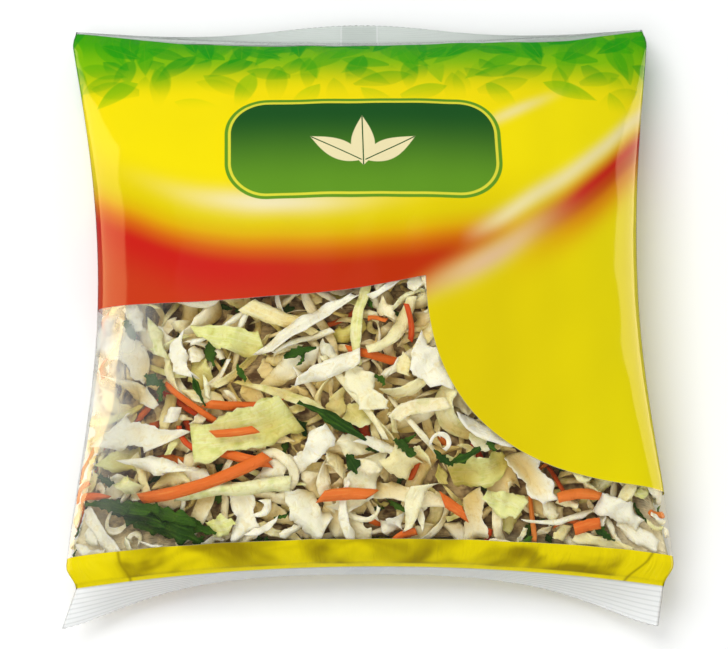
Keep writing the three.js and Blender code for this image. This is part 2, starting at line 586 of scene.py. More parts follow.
def leafValues(tree, x, y, turn, length, width, soft, fade):
    # one pointed leaf, and the line of its midrib
    cosine, sine = doMath("COSINE", turn), doMath("SINE", turn)
    along = x * cosine + y * sine
    side = abs(y * cosine - x * sine)
    share = doMath("MAXIMUM", doMath("MINIMUM", along / length, 1), -1)
    edge = (1 - share * share) * (share * -0.35 + 1) * width
    mask = rangeOf(edge - side, 0, soft) * ((share - 1) * fade + 1)
    return mask, rangeOf(side, 0.12, 0.32, 1, 0) * mask


def leafScatterValues(tree, around, along, pitch, seed, length, width):
    # leaves strewn one to a cell, each turned its own way
    place = pointAt(around / pitch + seed, seed * 0.37 + along / pitch)
    cells = addNode(tree, "ShaderNodeTexVoronoi", {"Vector": place, "Scale": 1, "Randomness": 0.55},
                    voronoi_dimensions="2D")
    middle, chance = Value(cells.outputs["Position"]), Value(cells.outputs["Color"])
    apart = addNode(tree, "ShaderNodeVectorMath", {0: place, 1: middle}, operation="SUBTRACT")
    x, y, z = splitPoint(Value(apart.outputs[0]))
    turn, tint, spare = splitColour(chance)
    turn = rangeLinear(turn, 0, 1, 3.4, 6.2)
    return *useGroup(tree, leafShape, x * pitch, y * pitch, turn, length, width, 0.9, 0.15), tint


def plateValues(tree, x, y, halfWidth, halfHeight, corner):
    # distance outside a plate with rounded corners, in millimetres
    parts = [abs(x) - (halfWidth - corner), abs(y) - (halfHeight - corner)]
    outside = [doMath("MAXIMUM", part, 0) for part in parts]
    far = doMath("SQRT", outside[0] * outside[0] + outside[1] * outside[1])
    near = doMath("MINIMUM", doMath("MAXIMUM", *parts), 0)
    return [far + near - corner]


def bandValues(tree, value, centre, width):
    # a soft streak: 1 on a line, fading out at a width to each side
    away = (value - centre) / width
    return [doMath("EXPONENT", away * away * -1)]


def bandMask(value, centre, width):
    return useGroup(value.tree, softBand, value, centre, width)[0]


def windowMask(around, along):
    # 1 where the film is left clear over the slaw
    (middleX, middleY), (sizeX, sizeY) = printLayout["panelMiddle"], printLayout["panelSize"]
    under = edgeAt(curveAt(around, printLayout["windowTop"]) - along, 0)
    inward = [(middleX - around) / sizeX, (middleY - along) / sizeY]
    x, y = [doMath("POWER", doMath("MAXIMUM", part, 0), printLayout["panelSquareness"]) for part in inward]
    beside = rangeOf(x + y, 0.992, 1.008)
    aboveBand = edgeAt(along, printLayout["bandTop"])
    return under * beside * (aboveBand * edgeAt(abs(around), printLayout["windowWrap"], 1, 0))


def printFields(around, along):
    # soft fields of colour over the window
    colour = printColours
    overRed = along - curveAt(around, printLayout["redTop"])
    leftField = rangeOf(around - along * 1.4, 18, 42, 1, 0) * rangeOf(around, -170, -128)
    ground = layOver(colour["deepYellow"], colour["yellow"], rangeOf(overRed, 4, 30))
    ground = layOver(ground, colour["panelYellow"], rangeOf(around, 30, 110))

    # red field, soft at its upper edge, and a pale streak over it
    red = layOver(colour["brightRed"], colour["red"], rangeOf(overRed, -26, -8))
    red = layOver(red, colour["brownRed"], rangeOf(around, -60, 10))
    ground = layOver(ground, colour["orange"], rangeOf(overRed, -3, 11, 0.95, 0), leftField)
    ground = layOver(ground, red, rangeOf(overRed, -8, 5, 1, 0), leftField)
    ground = layOver(ground, colour["cream"], bandMask(overRed, 17, 4), bandMask(around, -33, 27))

    # ribbon that climbs to the right: pale along its top, then red, with orange fading out below
    below = curveAt(around, printLayout["ribbon"]) - along
    fadeRound = rangeOf(around, 118, 165, 1, 0)
    for middle, width, shade, low, high, share in printLayout["ribbonStreaks"]:
        rising = rangeOf(around, low, high, 0, share)
        ground = layOver(ground, colour[shade], bandMask(below, middle, width), rising, fadeRound)
    ground = layOver(ground, colour["pink"], bandMask(below, 10, 4.6), bandMask(around, 42, 20), 0.85)

    # a second pale streak, up from the plate
    overLine = along - rangeLinear(around, 44, 75, 57, 75)
    return layOver(ground, colour["cream"], bandMask(overLine, 0, 2.4), bandMask(around, 53, 12), 0.6)


def printFoliage(ground, around, along):
    colour = printColours
    ground = layOver(ground, colour["lightGreen"], rangeOf(along, 70, 91))
    ground = layOver(ground, colour["green"], rangeOf(along, 88, 101, 0, 0.85))
    for pitch, seed, length, width, shade, low, high, share in printLayout["foliage"]:
        mask, vein, tint = useGroup(along.tree, leafScatter, around, along, pitch, seed, length, width)
        shown = mask * rangeOf(along, low, high, 0, share)
        ground = layOver(ground, colour[shade], shown, rangeLinear(tint, 0, 1, 0.65, 1))
        ground = layOver(ground, colour["lightGreen"], vein, shown, 0.2)
    return ground


def printPlate(ground, around, along):
    # plain plate with a sprig of three leaves
    colour = printColours
    plate = printLayout["plate"]
    x, y = around - plate["middle"][0], along - plate["middle"][1]
    outside = useGroup(x.tree, roundedPlate, x, y, *plate["half"], plate["corner"])[0]
    field = layOver(colour["plateLight"], colour["plateGreen"], rangeOf(y, -18, 16))
    for edge, shade in ((3.2, colour["plateLight"]), (2, colour["plateLine"]), (1, field)):
        ground = layOver(ground, shade, rangeOf(outside, edge, edge + 0.3, 1, 0))
    for leafX, leafY, turn, length in plate["leaves"]:
        place = (x - leafX, y - leafY, math.radians(turn))
        mask, vein = useGroup(x.tree, leafShape, *place, length, plate["leafWidth"])
        ground = layOver(ground, colour["cream"], mask)
        ground = layOver(ground, colour["plateGreen"], vein)
    return ground


def printValues(tree, hasFoliage=False):
    around, along = useGroup(tree, filmPlace)
    ground = printFields(around, along)
    if hasFoliage:
        ground = printFoliage(ground, around, along)
    ground = printPlate(ground, around, along)

    # plain band at the bottom, with painted shade where it puckers and along the creases of its folded-in
    # corners, and painted light on those corners
    yellow, dark = printColours["yellow"], printColours["bandShade"]
    height, pucker = useGroup(tree, filmCrinkle, around, along)
    band = layOver(dark, printColours["band"], rangeOf(pucker, 0.34, 0.64))
    band = layOver(band, yellow, rangeOf(along, -105.2, -104.6, 1, 0))
    # painted light on the folded-in corners
    band = layOver(band, yellow, rangeOf(abs(abs(around) - 100), 10, 15, 0.8, 0))
    # painted shade along the creases of those corners
    for place, slope in printLayout["creases"]:
        band = layOver(band, dark, bandMask((along + 100) * slope + around, place, 0.6), 0.75)
    ground = layOver(ground, band, edgeAt(along, printLayout["bandTop"], 1, 0))

    # painted shadow along the free edge of the back seam
    fromSeam = abs(around) - (2 * halfFlat - bag["seamWidth"] / 2 + 0.3)
    ground = layOver(ground, dark, rangeOf(abs(fromSeam), 0.2, 0.45, 0.7, 0))
    below = edgeAt(curveAt(around, printLayout["topEdge"]) - along, 0)
    return ground, below * edgeAt(along, -halfBody) * (1 - windowMask(around, along))


def leafyPrintValues(tree):
    return printValues(tree, True)


def crimpsAlong(value):
    return doMath("SINE", value * (2 * math.pi / bag["crimpPitch"]))


def crinkleValues(tree, around, along):
    # the film's fine relief in millimetres, from the slaw inside and in creases that run out from the seals
    place = pointAt(around, along)
    fromSeal = halfBody - abs(along)
    creases = noiseAt(pointAt(around * 0.13, along * 0.05), 1, 3, 0.6, 0.5)
    pucker = creases * rangeOf(fromSeal, 3, 22, 1, 0) * rangeOf(fromSeal, -0.5, 2)
    height = noiseAt(place, 0.07, 1, 0.4) * 0.15 + pucker * 1.8
    inSeam = rangeOf(abs(around), 2 * halfFlat - 6.2, 2 * halfFlat - 5.8, 0, 0.1)
    wide = addNode(tree, "ShaderNodeMapping", {"Vector": place, "Scale": (0.05, 0.09, 1)})
    return inSeam * crimpsAlong(around) + height, noiseAt(Value(wide.outputs[0]), 1, 1.5, distortion=0.6)


filmFinish = {
    "roughness": 0.1,
    "gloss": 0.3,
    "clearAlpha": 0.04,
    "finAlpha": (0.48, 0.6),  # bottom and top
    "clearTint": linear(235, 238, 236),
    "bottomFin": linear(252, 254, 254),
    "topFin": linear(224, 233, 226),
    "crimpShade": linear(212, 216, 216),
    "paintedSheen": 0.6,  # a painted whitish reflection in patches over the clear film at its left
    "paintedSheenTint": linear(250, 252, 246),
    "speck": linear(40, 46, 44),
}


def bareFilmValues(tree, around, along):
    # the film where nothing is printed: its end seals, and clear film with a painted whitish reflection at
    # the left
    finish = filmFinish
    inFin = rangeOf(abs(along), halfBody - 5.5, halfBody - 4.5)
    atTop = rangeOf(along, -1, 1)
    fin = layOver(finish["bottomFin"], finish["topFin"], atTop)
    # painted shade on one side of each crimp of the end seals
    fin = layOver(fin, finish["crimpShade"], rangeOf(crimpsAlong(along), 0.2, 0.95, 0, 0.55))
    fromSeam = abs(around) - bag["seamWidth"] / 2
    fin = layOver(fin, finish["bottomFin"], rangeOf(abs(fromSeam), 0.15, 0.35, 0.7, 0))

    # dark specks of ink at the middle of the top cut edge
    specks = rangeOf(doMath("SINE", around * 4.3), -0.2, 0.4) * rangeOf(abs(around + 2), 5.5, 6.5, 0.8, 0)
    specks = specks * rangeOf(along, halfBody + 13.1, halfBody + 13.5)
    fin = layOver(fin, finish["speck"], specks)

    # painted reflection: the clear film is whitened and made less clear in patches at its left
    sheenPatches = noiseAt(pointAt(around, along), 0.06, 2)
    paintedSheen = rangeOf(sheenPatches, 0.3, 0.6, 0.5, 1) * rangeOf(around, -96, -60, 1, 0)
    paintedSheen = paintedSheen * rangeOf(along, -85, -30, 0.3, 1)
    clear = layOver(finish["clearTint"], finish["paintedSheenTint"], paintedSheen)
    finAlpha = doMath("MAXIMUM", rangeLinear(atTop, 0, 1, *finish["finAlpha"]), specks)
    clearAlpha = rangeLinear(paintedSheen, 0, 1, finish["clearAlpha"], finish["paintedSheen"])
    alpha = rangeLinear(inFin, 0, 1, clearAlpha, finAlpha)
    return layOver(clear, fin, inFin), alpha, (1 - inFin) * (1 - paintedSheen)


def makeFilmMaterial(name, artworkGroup=None):
    material, shader = newMaterial(name)
    tree = material.node_tree
    around, along = useGroup(tree, filmPlace)
    colour, alpha, clear = useGroup(tree, bareFilm, around, along)
    if artworkGroup:
        artwork, printed = useGroup(tree, artworkGroup)
        colour = layOver(colour, artwork, printed)
        alpha = doMath("MAXIMUM", printed, alpha)
        clear = (1 - printed) * clear
    height, pucker = useGroup(tree, filmCrinkle, around, along)
    setShader(shader, height, {
        "Base Color": colour,
        "Alpha": alpha,
        "Metallic": clear,  # the little that clear film shows is its gloss
        "Roughness": filmFinish["roughness"],
        "Specular IOR Level": filmFinish["gloss"],
    })
    return material


def inWindow(around, along, margin):
    # true in the clear window, at least a margin inside its edge
    top = np.interp(around, *zip(*printLayout["windowTop"]))
    (middleX, middleY), (sizeX, sizeY) = printLayout["panelMiddle"], printLayout["panelSize"]
    x = np.maximum((middleX - around) / (sizeX + margin), 0)
    y = np.maximum((middleY - along) / (sizeY + margin), 0)
    square = printLayout["panelSquareness"]
    return ((along < top - margin) & (along > printLayout["bandTop"] + margin)
            & (np.abs(around) < printLayout["windowWrap"] - margin) & (x ** square + y ** square > 1))


def dressFilm(piece):
    # faces take the film's material by what is printed there, because one for it all would render slower
    mesh = piece.data
    flat = np.empty(len(mesh.loops) * 2)
    mesh.uv_layers["flatFilm"].data.foreach_get("uv", flat)
    first = np.empty(len(mesh.polygons), dtype=int)
    mesh.polygons.foreach_get("loop_start", first)
    around, along = (flat.reshape(-1, 2)[first].T - 0.5) * np.array([[4 * halfFlat], [filmLength]])
    bare = inWindow(around, along, 3) | (np.abs(along) > halfBody + 2)
    for material in filmMaterials:
        mesh.materials.append(material)
    printed = np.where(along > printLayout["foliageFrom"], 1, 0)
    mesh.polygons.foreach_set("material_index", np.where(bare, 2, printed))


onFilm = {"Around": 0, "Along": 0}
scatterInputs = {**onFilm, "Pitch": 10, "Seed": 0, "Length": 7, "Width": 3}
leafInputs = {"X": 0, "Y": 0, "Turn": 0, "Length": 5, "Width": 2, "Soft": 0.35, "Fade": 0}
plateInputs = {"X": 0, "Y": 0, "Half Width": 40, "Half Height": 20, "Corner": 5}
leafOutputs = {"Mask": "Float", "Vein": "Float"}
printOutputs = {"Colour": "Color", "Printed": "Float"}
bareOutputs = {"Colour": "Color", "Alpha": "Float", "Clear": "Float"}
filmPlace = makeGroup("filmPlace", {}, {"Around": "Float", "Along": "Float"}, filmPlaceValues)
leafShape = makeGroup("leafShape", leafInputs, leafOutputs, leafValues)
leafScatter = makeGroup("leafScatter", scatterInputs, {**leafOutputs, "Tint": "Float"}, leafScatterValues)
roundedPlate = makeGroup("roundedPlate", plateInputs, {"Distance": "Float"}, plateValues)
softBand = makeGroup("softBand", {"Value": 0, "Centre": 0, "Width": 5}, {"Mask": "Float"}, bandValues)
filmCrinkle = makeGroup("filmCrinkle", onFilm, {"Height": "Float", "Pucker": "Float"}, crinkleValues)
bareFilm = makeGroup("bareFilm", onFilm, bareOutputs, bareFilmValues)
filmMaterials = [
    makeFilmMaterial("printedFilm", makeGroup("fieldPrint", {}, printOutputs, printValues)),
    makeFilmMaterial("leafyFilm", makeGroup("leafyPrint", {}, printOutputs, leafyPrintValues)),
    makeFilmMaterial("clearFilm"),
]
for piece in (makeFilm(), makeSeam()):
    dressFilm(piece)
    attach(piece, "root")
    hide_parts("bag")
print("film: printed and sealed")


# The slaw lies right under the clear film. Pieces are laid on the film's own map from the top down, and each
# next one is tucked in under those already there.

slawLayers = {
    "mapAround": 140,  # the film is mapped this far round, and from one place along it to another
    "mapAlong": (-104, 32),
    "piecesAround": 138,
    "piecesAlong": (-102, 31),
    "deepest": 11.5,  # the core's depth under the film
    "clearance": 0.12,
    "stiffness": 0.4,  # how steeply a piece may dive under its neighbours
    "tries": 12,
}
slawCore = {"around": 135, "along": (-100, 20), "grid": (150, 64), "thick": 3}
slawKinds = {
    "cabbageShreds": {
        "count": 800, "grid": (20, 4), "length": (6, 36), "width": (1.8, 7), "thick": (0.8, 1.9),
        "small": 1.5, "bend": 0.42, "curled": 0.09, "roll": 0.4, "cup": 1.3, "crease": 0.7, "wave": 0.6,
        "ruffle": 0.8, "point": 0.7, "blunt": (0.1, 1.3), "ragged": 0.22, "nicks": 0.45, "slant": 0.9,
    },
    "cabbageLeaves": {
        "count": 170, "grid": (18, 9), "length": (9, 25), "width": (6, 12), "thick": (0.6, 1.1),
        "small": 1.4, "bend": 0.3, "curled": 0.05, "roll": 0.18, "cup": 2.0, "crease": 0.6, "wave": 0.95,
        "ruffle": 1.6, "point": 0.6, "blunt": (0.2, 1.2), "ragged": 0.44, "nicks": 0.35, "slant": 0.7,
    },
    "carrotSticks": {
        "count": 58, "grid": (12, 2), "length": (7, 34), "width": (1.8, 3.9), "thick": (1.0, 1.7),
        "small": 1.3, "bend": 0.3, "curled": 0, "roll": 0.25, "cup": 0, "crease": 0, "wave": 0.25,
        "ruffle": 0, "point": 0.12, "blunt": (0.5, 1.3), "ragged": 0.07, "nicks": 1, "slant": 0.6,
    },
    "parsley": {
        "count": 70, "grid": (14, 6), "length": (4, 13), "width": (1.6, 5), "thick": (0.25, 0.4),
        "small": 1.4, "bend": 0.5, "curled": 0, "roll": 0.3, "cup": 0.8, "crease": 0.3, "wave": 0.4,
        "ruffle": 0.6, "point": 1.0, "blunt": (0.05, 0.5), "ragged": 0.5, "nicks": 1, "slant": 0.3,
    },
}


def makeFilmMap():
    # the film's place, its outward normal and the room behind it, at every millimetre
    around = np.arange(-slawLayers["mapAround"], slawLayers["mapAround"] + 1, dtype=float)
    along = np.arange(slawLayers["mapAlong"][0], slawLayers["mapAlong"][1] + 1, dtype=float)
    sheet = filmSheet(around, along)
    normal = sheetNormals(sheet)
    room = np.empty(sheet.shape[:2])
    rim = np.linspace(-212, 212, 160)
    for i, y in enumerate(along):
        # the radius of the largest circle that touches the film here and fits in the bag's section
        others = (filmRow(rim, y) + bagOffset)[:, [0, 2]]
        gap = others[None] - sheet[i][:, None, [0, 2]]
        inward = -(gap * normal[i][:, None, [0, 2]]).sum(axis=2)
        squared = (gap ** 2).sum(axis=2)
        radius = squared / (2 * np.maximum(inward, 1e-3))
        room[i] = np.where(squared > 4, radius, 1e3).min(axis=1)
    return {"around": around, "along": along, "grid": np.dstack([sheet, normal, room])}


filmMap = makeFilmMap()
depthField = np.full(filmMap["grid"].shape[:2], 0.35)


def mapCell(around, along):
    columns, rows = len(filmMap["around"]), len(filmMap["along"])
    return (np.clip(np.rint(along - filmMap["along"][0]), 0, rows - 1).astype(int),
            np.clip(np.rint(around - filmMap["around"][0]), 0, columns - 1).astype(int))


def filmAt(around, along):
    x = np.clip(around - filmMap["around"][0], 0, len(filmMap["around"]) - 1.001)
    y = np.clip(along - filmMap["along"][0], 0, len(filmMap["along"]) - 1.001)
    i, j = y.astype(int), x.astype(int)
    down, right = (y - i)[..., None], (x - j)[..., None]
    grid = filmMap["grid"]
    low = grid[i, j] * (1 - right) + grid[i, j + 1] * right
    high = grid[i + 1, j] * (1 - right) + grid[i + 1, j + 1] * right
    return low * (1 - down) + high * down


def finer(grid):
    # twice the samples each way
    for axis in (0, 1):
        grid = np.moveaxis(grid, axis, 0)
        twice = np.empty((2 * len(grid) - 1,) + grid.shape[1:])
        twice[::2] = grid
        twice[1::2] = (grid[1:] + grid[:-1]) / 2
        grid = np.moveaxis(twice, 0, axis)
    return grid


def makeSlab(name, grid):
    # one flat slab, the form that every piece of a kind is cut from
    slab, row, column, isTop = addSheet(name, *grid, True)
    faceOutward(slab.data)
    form = {"row": row, "column": column, "isTop": isTop, "points": [], "tones": [], "flats": []}
    form["faces"] = [tuple(face.vertices) for face in slab.data.polygons]
    bpy.data.objects.remove(slab)
    return form


def cutPiece(kind, size, lobes=0, crumple=1):
    # the piece's plan about its middle line, and the heights of its two faces over that line
    spec = slawKinds[kind]
    length, width, thick = size
    s = np.linspace(-1, 1, spec["grid"][0] + 1)[:, None]
    t = np.linspace(-1, 1, spec["grid"][1] + 1)[None, :]
    phases = rng.uniform(0, 2 * math.pi, 10)
    outline = np.ones_like(s)
    for toEnd in (1 + s, 1 - s):
        reach = rng.uniform(0.15, 1.3) * spec["point"] + 0.1
        outline = outline * np.clip(toEnd / reach, min(rng.uniform(*spec["blunt"]), 1), 1) ** 0.7
    if lobes:
        outline = outline * (0.45 + 0.55 * np.abs(np.cos(lobes * math.pi / 2 * (s + 0.25 * t * t))) ** 0.6)
    ragged = np.ones_like(s * t)
    for edge in (-1, 1):  # each long edge wanders its own way
        own = np.clip(t * edge, 0, 1)
        wander = 0.5 * np.sin(2.7 * s + phases[edge]) + 0.3 * np.sin(6.1 * s + phases[2 + edge])
        nicks = 0.35 * np.sin(13 * s + phases[4 + edge]) + 0.28 * np.sin(27 * s + 3 * phases[4 + edge])
        ragged = ragged + spec["ragged"] * own * (wander + spec["nicks"] * nicks)
    side = t * outline * ragged * width / 2
    slant = rng.normal(0, spec["slant"]) * side * np.abs(s) ** 3  # ends cut at a slant
    roll = rng.normal(0, spec["roll"]) + rng.normal(0, spec["roll"]) * s
    cup = rng.normal(0.1, 0.5) * spec["cup"] * width / 8 * (t * t - 0.4)
    crease = rng.normal(0, 0.5) * spec["crease"] * width / 2 * (np.abs(t - rng.uniform(-0.4, 0.4)) - 0.4)
    wave = spec["wave"] * (np.sin(3.4 * s + phases[6]) + 0.4 * np.sin(7.7 * s + 2 * t + phases[7]))
    ruffle = spec["ruffle"] * np.clip(t * rng.choice((-1, 1)), 0, 1) ** 2 * np.sin(length / 3 * s + phases[8])
    lift = side * np.sin(roll) + crumple * ((cup + crease) * outline + wave * (0.4 + 0.6 * t * t) + ruffle)
    half = thick / 2 * (1 - 0.7 * t ** 4) * (1 - 0.5 * s ** 6)
    return s * length / 2 + slant, side * np.cos(roll), lift + half, lift - half


def layPiece(kind, around, along, turn, size, tone, bend=None, lobes=0, isHero=False):
    spec = slawKinds[kind]
    run, side, top, bottom = cutPiece(kind, size, lobes, 1.7 if isHero else 1)
    if bend is None:
        bend = rng.normal(0, spec["bend"])
        if rng.uniform() < spec["curled"]:
            bend = rng.choice((-1, 1)) * rng.uniform(1.1, 2.3)
    share = np.linspace(-1, 1, len(run))
    heading = turn + bend * share + (0 if isHero else rng.normal(0, 0.3)) * share * share
    step = size[0] / 2 * np.diff(share, prepend=share[0])
    lineX, lineY = np.cumsum(np.cos(heading) * step), np.cumsum(np.sin(heading) * step)
    ahead = run - share[:, None] * size[0] / 2
    cosine, sine = np.cos(heading)[:, None], np.sin(heading)[:, None]
    a = around + (lineX - lineX.mean())[:, None] + ahead * cosine - side * sine
    b = along + (lineY - lineY.mean())[:, None] + ahead * sine + side * cosine
    low, high = slawLayers["piecesAlong"]
    if np.abs(a).max() > slawLayers["piecesAround"] or b.min() < low or b.max() > high:
        return False

    fineA, fineB, fineTop, fineBottom = (finer(finer(part)) for part in (a, b, top, bottom))
    cells = mapCell(fineA, fineB)
    need = (depthField[cells] + slawLayers["clearance"] + fineTop).max(axis=1)
    station = np.linspace(0, size[0], len(need))
    apart = np.abs(station[:, None] - station[None, :]) * slawLayers["stiffness"]
    depth = (need[None, :] - apart).max(axis=1)
    film = filmAt(a, b)
    vertexTop = np.maximum(depth[::4, None] - top, 0.3)
    vertexBottom = np.maximum(depth[::4, None] - bottom, 0.5)
    limit = np.minimum(film[..., 6] * 0.8, slawLayers["deepest"] + 0.5)
    if (vertexBottom > limit).mean() > (0.3 if isHero else 0.02):
        return False
    np.maximum.at(depthField, cells, depth[:, None] - fineBottom)

    form = slabForms[kind]
    at = form["row"], form["column"]
    vertexTop, vertexBottom = np.minimum(vertexTop, limit), np.minimum(vertexBottom, limit + 0.3)
    deep = np.where(form["isTop"], vertexTop[at], vertexBottom[at])
    here = film[at]
    form["points"].append(here[:, :3] - here[:, 3:6] * deep[:, None])
    form["tones"].append(np.column_stack([np.tile(tone, (len(deep), 1)), np.clip(deep / 10, 0, 1)]))
    flat = np.stack([run, side], axis=-1)[at]
    form["flats"].append(flat + rng.uniform(-900, 900, 2))
    return True


def layBetween(kind, start, stop, width, thick, tone, bend=0.0, lobes=0):
    start, stop = np.array(start), np.array(stop)
    middle, reach = (start + stop) / 2, stop - start
    size = (np.hypot(*reach), width, thick)
    layPiece(kind, middle[0], middle[1], math.atan2(reach[1], reach[0]), size, tone, bend, lobes, True)


slabForms = {kind: makeSlab(kind, spec["grid"]) for kind, spec in slawKinds.items()}

# pieces that stand out, placed as seen: start and stop on the film's map, width, thickness, lobes, greenness
standOut = (
    ("parsley", (-99, -78), (-83, -83), 6, 0.4, 2, 0.2),
    ("parsley", (-92, -80), (-72, -83.5), 6.5, 0.4, 3, 0.5),
    ("parsley", (-90, -82.5), (-70, -89), 7, 0.4, 3, 0.1),
    ("parsley", (-80, -84), (-60, -88), 5.5, 0.4, 2, 0.6),
    ("parsley", (-78, -88), (-58, -95.5), 8, 0.4, 3, 0.2),
    ("parsley", (-68, -87), (-53, -94), 5, 0.4, 2, 0.4),
    ("parsley", (-84, -87), (-72, -93), 5, 0.4, 2, 0.7),
    ("carrotSticks", (-53.5, -58.6), (-38.5, -57.6), 2.8, 1.3, 0, 0.3),
    ("cabbageLeaves", (-61, -61), (-26, -54), 15, 0.7, 0, 0.9),
    ("carrotSticks", (-79, -80.5), (-34, -68.5), 4.3, 1.8, 0, 0.2),
    ("carrotSticks", (-34, -70), (-55, -63.5), 3.6, 1.6, 0, 0.2),
    ("parsley", (-24, -48.5), (-1, -61.5), 4.6, 0.5, 0, 0.1),
    ("parsley", (-25, -54.5), (-22, -60.5), 4.5, 0.4, 2, 0),
    ("parsley", (21.5, -65.5), (28, -70.5), 3.2, 0.4, 0, 0.1),
    ("parsley", (26.5, -70.5), (37.5, -64.5), 3.2, 0.4, 2, 0.2),
    ("parsley", (8.3, -61.6), (14.8, -67.5), 4.6, 0.4, 2, 0.3),
    ("parsley", (-87, -15.5), (-82, -23), 4.2, 0.4, 0, 0.6),
    ("parsley", (-78, -36), (-72, -40), 4, 0.4, 2, 0.5),
    ("parsley", (-73, -38), (-72, -46), 3.5, 0.4, 2, 0.5),
    ("parsley", (-61, -37.5), (-56, -49), 2.2, 0.4, 2, 0.2),
    ("parsley", (-29, -33), (-18, -30), 3.6, 0.4, 2, 0.4),
    ("parsley", (-45, -35), (-42, -41), 2.4, 0.4, 0, 0.8),
    ("carrotSticks", (-56, -48.5), (-31, -50), 3.4, 1.5, 0, 0.1),
    ("carrotSticks", (-17, -81), (1, -80.3), 4, 1.6, 0, 0.4),
    ("carrotSticks", (64, -80), (79, -78), 4, 1.6, 0, 0.5),
    ("cabbageShreds", (-37, -31), (-5, -11), 6.5, 1.4, 0, 0.1),
    ("cabbageShreds", (-25, -42), (-3, -33), 6, 1.3, 0, 0.2),
    ("cabbageLeaves", (-60, -22.5), (-37, -27.5), 8.5, 0.9, 0, 0.85),
    ("cabbageLeaves", (-93, -53.5), (-70, -60), 10, 1.0, 0, 0.3),
    ("cabbageLeaves", (-95, -18), (-80, -32), 12, 1.0, 0, 0.1),
    ("cabbageShreds", (-93, -36), (-75, -44.5), 7, 1.4, 0, 0.1),
    ("cabbageShreds", (-67, -79.5), (-27, -77), 5, 1.6, 0, 0.95),
    ("cabbageShreds", (-82, -65), (-65, -71), 6, 1.5, 0, 0.4),
    ("cabbageLeaves", (-28.5, -81.5), (-15, -94), 10, 1.0, 0, 0.6),
    ("cabbageLeaves", (15, -29.5), (28, -42), 12, 1.1, 0, 0.1),
    ("cabbageLeaves", (50.5, -66.5), (62, -82), 10, 1.1, 0, 0.1),
    ("cabbageLeaves", (39, -80.5), (51.5, -86), 8, 1.0, 0, 0.8),
    ("carrotSticks", (24.5, -82), (32.5, -87.5), 3.6, 1.3, 0, 0.1),
    ("carrotSticks", (70, -91), (79, -88), 4, 1.3, 0, 0.1),
    ("cabbageLeaves", (79, -80), (94, -87.5), 9, 0.9, 0, 0.2),
    ("cabbageShreds", (86, -88), (100, -94), 6, 1.0, 0, 0.1),
)
for kind, start, stop, width, thick, lobes, greenness in standOut:
    layBetween(kind, start, stop, width, thick, (greenness, 0.4, 0.4), rng.normal(0, 0.15), lobes)

window = np.stack(np.meshgrid(filmMap["along"], filmMap["around"], indexing="ij"), axis=-1).reshape(-1, 2)
window = window[inWindow(window[:, 1], window[:, 0], -3)]

order = np.concatenate([np.full(spec["count"], i) for i, spec in enumerate(slawKinds.values())])
rng.shuffle(order)
kindNames = list(slawKinds)
laid = {kind: 0 for kind in kindNames}
for index in order:
    kind = kindNames[index]
    spec = slawKinds[kind]
    for attempt in range(slawLayers["tries"]):
        spots = window[rng.integers(0, len(window), 14)]
        spot = spots[np.argmin(depthField[mapCell(spots[:, 1], spots[:, 0])])]
        size = [spec[key][0] + (spec[key][1] - spec[key][0]) * rng.uniform() ** spec["small"]
                for key in ("length", "width", "thick")]
        turn = rng.uniform(0, 2 * math.pi)
        lobes = rng.integers(2, 4) if kind == "parsley" else 0
        tone = rng.uniform(0, 1, 3)
        if layPiece(kind, spot[1], spot[0], turn, size, tone, lobes=lobes):
            laid[kind] += 1
            break
print("slaw:", laid)


def joinPieces(kind):
    form = slabForms[kind]
    each = len(form["row"])
    count = len(form["points"])
    faces = np.concatenate([np.array(form["faces"]) + each * i for i in range(count)])
    mesh = bpy.data.meshes.new(kind)
    mesh.from_pydata(np.concatenate(form["points"]) * metre, [], faces.tolist())
    piece = bpy.data.objects.new(kind, mesh)
    scene.collection.objects.link(piece)
    setMap(mesh, "grain", np.concatenate(form["flats"]))
    tones = mesh.color_attributes.new(name="tone", type="FLOAT_COLOR", domain="POINT")
    tones.data.foreach_set("color", np.concatenate(form["tones"]).ravel())
    mesh.polygons.foreach_set("use_smooth", np.ones(len(mesh.polygons), dtype=bool))
    mesh.update()
    print(kind, count, "pieces,", len(mesh.polygons) * 2, "triangles")
    return piece


def makeCore():
    # what shows between the pieces: a bumpy mass deeper down, coloured as slaw in painted shade
    form = makeSlab("slawCore", slawCore["grid"])
    around = np.linspace(-slawCore["around"], slawCore["around"], slawCore["grid"][0] + 1)[form["row"]]
    along = np.linspace(*slawCore["along"], slawCore["grid"][1] + 1)[form["column"]]
    film = filmAt(around, along)
    bumps = 0.9 * np.sin(around / 2.3 + np.sin(along / 3)) * np.sin(along / 2.9 + np.sin(around / 4.1))
    upper = np.minimum(slawLayers["deepest"] + bumps, film[:, 6] * 0.86)
    lower = np.minimum(slawLayers["deepest"] + slawCore["thick"], film[:, 6] * 0.97)
    deep = np.where(form["isTop"], upper, lower)
    form["points"].append(film[:, :3] - film[:, 3:6] * deep[:, None])
    form["tones"].append(np.column_stack([np.full((len(deep), 3), 0.5), np.clip(deep / 10, 0, 1)]))
    form["flats"].append(np.stack([around, along], axis=-1))
    slabForms["slawCore"] = form
    return joinPieces("slawCore")


def grainValues(tree, fibre):
    # long fibres, soft blotches and crinkles along a piece
    flat = Value(addNode(tree, "ShaderNodeUVMap", uv_map="grain").outputs[0])
    stretched = addNode(tree, "ShaderNodeMapping", {"Vector": flat, "Scale": (0.12, 1.3, 1)})
    fibres = noiseAt(Value(stretched.outputs[0]), fibre, 2, distortion=0.3)
    return fibres, noiseAt(flat, 0.22, 2), noiseAt(flat, 0.42, 3, distortion=1.2)


